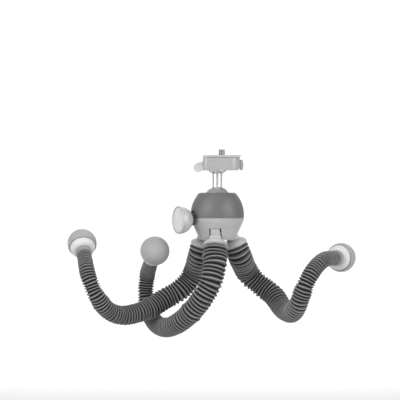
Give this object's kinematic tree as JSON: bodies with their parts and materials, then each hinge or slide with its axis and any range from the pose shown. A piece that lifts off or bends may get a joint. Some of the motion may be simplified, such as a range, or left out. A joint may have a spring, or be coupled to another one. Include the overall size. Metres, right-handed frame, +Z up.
{
  "type": "flexible leg tripod",
  "caption": "Compact tripod with ribbed, bendable legs ending in ball feet, wound round a horizontal grip, and a ball head with a side lock knob and a lever-locked quick-release plate.",
  "frame": {"origin": "on the axis of the grip that the legs are wound round, straight under the head", "axes": "+X along the grip to the right, +Y away from the front leg, +Z up along the ball head"},
  "size_m": [0.2686, 0.0873, 0.1749],
  "materials": {
    "cap_plastic": "matte, dark grey",
    "shell_plastic": "satin, light grey",
    "steel": "brushed",
    "cup_plastic": "smooth white acetal",
    "ball_metal": "matte anodised grey",
    "chrome": "polished",
    "knob_metal": "satin, light grey",
    "knob_face": "satin, bright",
    "clamp_metal": "satin, grey",
    "nut_plastic": "matte, dark",
    "lever_metal": "satin, light grey",
    "pad_rubber": "matte",
    "collar_plastic": "satin, near white",
    "foot_rubber": "matte, mid grey",
    "sleeve_rubber": "matte, grey"
  },
  "bodies": {
    "head": {"upper_shell": "cap_plastic", "hub_ring": "shell_plastic", "skirt": "shell_plastic", "base_screws": "steel", "hip_pins": "steel"},
    "pressure_cup": {"pressure_cup": "cup_plastic"},
    "slip_liner": {"slip_liner": "cup_plastic"},
    "ball": {"ball": "ball_metal", "stem": "chrome", "clamp_body": "clamp_metal"},
    "clamp_jaw": {"moving_jaw": "clamp_metal", "draw_bolt": "steel", "tension_nut": "nut_plastic", "lever_pin": "steel"},
    "cam_lever": {"cam_lever": "lever_metal"},
    "release_plate": {"release_plate": "clamp_metal", "plate_pad": "pad_rubber"},
    "mounting_screw": {"mounting_screw": "steel"},
    "lock_knob": {"lock_knob": "knob_metal", "knob_disc": "knob_face", "knob_shaft": "steel"},
    "brake_shoe": {"brake_shoe": "cup_plastic"},
    "front_hip": {"front_hip": "collar_plastic", "front_sleeve_ring": "collar_plastic", "front_sleeve_top": "sleeve_rubber", "front_bend_1": "sleeve_rubber"},
    "front_upper": {"front_sleeve_upper": "sleeve_rubber", "front_bend_2": "sleeve_rubber"},
    "front_lower": {"front_sleeve_lower": "sleeve_rubber", "front_bend_3": "sleeve_rubber"},
    "front_end": {"front_sleeve_end": "sleeve_rubber", "front_foot_collar": "collar_plastic", "front_foot_cap": "foot_rubber"},
    "left_hip": {"left_hip": "collar_plastic", "left_sleeve_ring": "collar_plastic", "left_sleeve_top": "sleeve_rubber", "left_bend_1": "sleeve_rubber"},
    "left_upper": {"left_sleeve_upper": "sleeve_rubber", "left_bend_2": "sleeve_rubber"},
    "left_lower": {"left_sleeve_lower": "sleeve_rubber", "left_bend_3": "sleeve_rubber"},
    "left_end": {"left_sleeve_end": "sleeve_rubber", "left_foot_collar": "collar_plastic", "left_foot_cap": "foot_rubber"},
    "right_hip": {"right_hip": "collar_plastic", "right_sleeve_ring": "collar_plastic", "right_sleeve_top": "sleeve_rubber", "right_bend_1": "sleeve_rubber"},
    "right_upper": {"right_sleeve_upper": "sleeve_rubber", "right_bend_2": "sleeve_rubber"},
    "right_lower": {"right_sleeve_lower": "sleeve_rubber", "right_bend_3": "sleeve_rubber"},
    "right_end": {"right_sleeve_end": "sleeve_rubber", "right_foot_collar": "collar_plastic", "right_foot_cap": "foot_rubber"}
  },
  "joints": [
    {"name": "ball_pan", "type": "hinge", "parent": "head", "child": "pressure_cup", "pos_m": [0, 0, 0.0795], "axis": [0, 0, 1], "continuous": true},
    {"name": "ball_nod", "type": "hinge", "parent": "pressure_cup", "child": "slip_liner", "pos_m": [0, 0, 0.0795], "axis": [1, 0, 0], "range_deg": [-25, 25]},
    {"name": "ball_roll", "type": "hinge", "parent": "slip_liner", "child": "ball", "pos_m": [0, 0, 0.0795], "axis": [0, 1, 0], "range_deg": [-25, 25]},
    {"name": "lock_knob_turn", "type": "hinge", "parent": "head", "child": "lock_knob", "pos_m": [0, 0, 0.06], "axis": [-0.9063, -0.4226, 0], "range_deg": [0, 360]},
    {"name": "brake_shoe_slide", "type": "slide", "parent": "head", "child": "brake_shoe", "axis": [-0.9063, -0.4226, 0], "range_m": [0, 0.00101]},
    {"name": "jaw_slide", "type": "slide", "parent": "ball", "child": "clamp_jaw", "axis": [1, 0, 0], "range_m": [0, 0.0008]},
    {"name": "cam_lever_turn", "type": "hinge", "parent": "clamp_jaw", "child": "cam_lever", "pos_m": [-0.0123, 0, 0.111], "axis": [0, -1, 0], "range_deg": [0, 38]},
    {"name": "plate_slide", "type": "slide", "parent": "ball", "child": "release_plate", "axis": [0, 1, 0], "range_m": [0, 0.03]},
    {"name": "mounting_screw_turn", "type": "hinge", "parent": "release_plate", "child": "mounting_screw", "pos_m": [0.0042, 0, 0.11995], "axis": [0, 0, 1], "continuous": true},
    {"name": "front_hip_swing", "type": "hinge", "parent": "head", "child": "front_hip", "pos_m": [-0.00141, -0.01343, 0.048], "axis": [-0.9945, 0.1045, 0], "range_deg": [-10, 1]},
    {"name": "front_bend_1_flex", "type": "hinge", "parent": "front_hip", "child": "front_upper", "pos_m": [-0.00678, -0.02909, 0.0012], "axis": [-0.7796, -0.5403, 0.3169], "range_deg": [0, 8], "deforming": ["front_bend_1"]},
    {"name": "front_bend_2_flex", "type": "hinge", "parent": "front_upper", "child": "front_lower", "pos_m": [-0.03954, -0.00191, -0.03749], "axis": [-0.8045, -0.4234, 0.4166], "range_deg": [0, 80], "deforming": ["front_bend_2"]},
    {"name": "front_bend_3_flex", "type": "hinge", "parent": "front_lower", "child": "front_end", "pos_m": [-0.06593, 0.03941, -0.01936], "axis": [-0.7696, -0.6364, -0.0526], "range_deg": [-15, 80], "deforming": ["front_bend_3"]},
    {"name": "left_hip_swing", "type": "hinge", "parent": "head", "child": "left_hip", "pos_m": [-0.01092, 0.00793, 0.048], "axis": [0.5878, 0.809, 0], "range_deg": [0, 3]},
    {"name": "left_bend_1_flex", "type": "hinge", "parent": "left_hip", "child": "left_upper", "pos_m": [-0.02365, 0.02934, 0.00638], "axis": [0.6936, -0.3934, -0.6034], "range_deg": [-30, 1], "deforming": ["left_bend_1"]},
    {"name": "left_bend_2_flex", "type": "hinge", "parent": "left_upper", "child": "left_lower", "pos_m": [-0.06878, 0.01086, -0.02475], "axis": [0.5871, -0.8016, -0.113], "range_deg": [-15, 60], "deforming": ["left_bend_2"]},
    {"name": "left_bend_3_flex", "type": "hinge", "parent": "left_lower", "child": "left_end", "pos_m": [-0.11001, -0.02337, -0.01145], "axis": [0.8346, -0.4097, 0.3682], "range_deg": [-40, 80], "deforming": ["left_bend_3"]},
    {"name": "right_hip_swing", "type": "hinge", "parent": "head", "child": "right_hip", "pos_m": [0.01233, 0.00549, 0.048], "axis": [0.4067, -0.9135, 0], "range_deg": [-20, 45]},
    {"name": "right_bend_1_flex", "type": "hinge", "parent": "right_hip", "child": "right_upper", "pos_m": [0.02885, 0.02986, 0.01001], "axis": [0.5986, 0.3456, 0.7226], "range_deg": [-40, 60], "deforming": ["right_bend_1"]},
    {"name": "right_bend_2_flex", "type": "hinge", "parent": "right_upper", "child": "right_lower", "pos_m": [0.06445, 0.00835, -0.02517], "axis": [0.9049, 0.3595, 0.228], "range_deg": [-60, 80], "deforming": ["right_bend_2"]},
    {"name": "right_bend_3_flex", "type": "hinge", "parent": "right_lower", "child": "right_end", "pos_m": [0.08399, -0.02461, 0.00693], "axis": [0.8461, -0.3583, -0.3946], "range_deg": [-60, 80], "deforming": ["right_bend_3"]}
  ],
  "couplings": [
    {"joint": "brake_shoe_slide", "follows": "lock_knob_turn", "m_per_rad": 0.00015915},
    {"joint": "cam_lever_turn", "follows": "jaw_slide", "rad_per_m": 829}
  ]
}
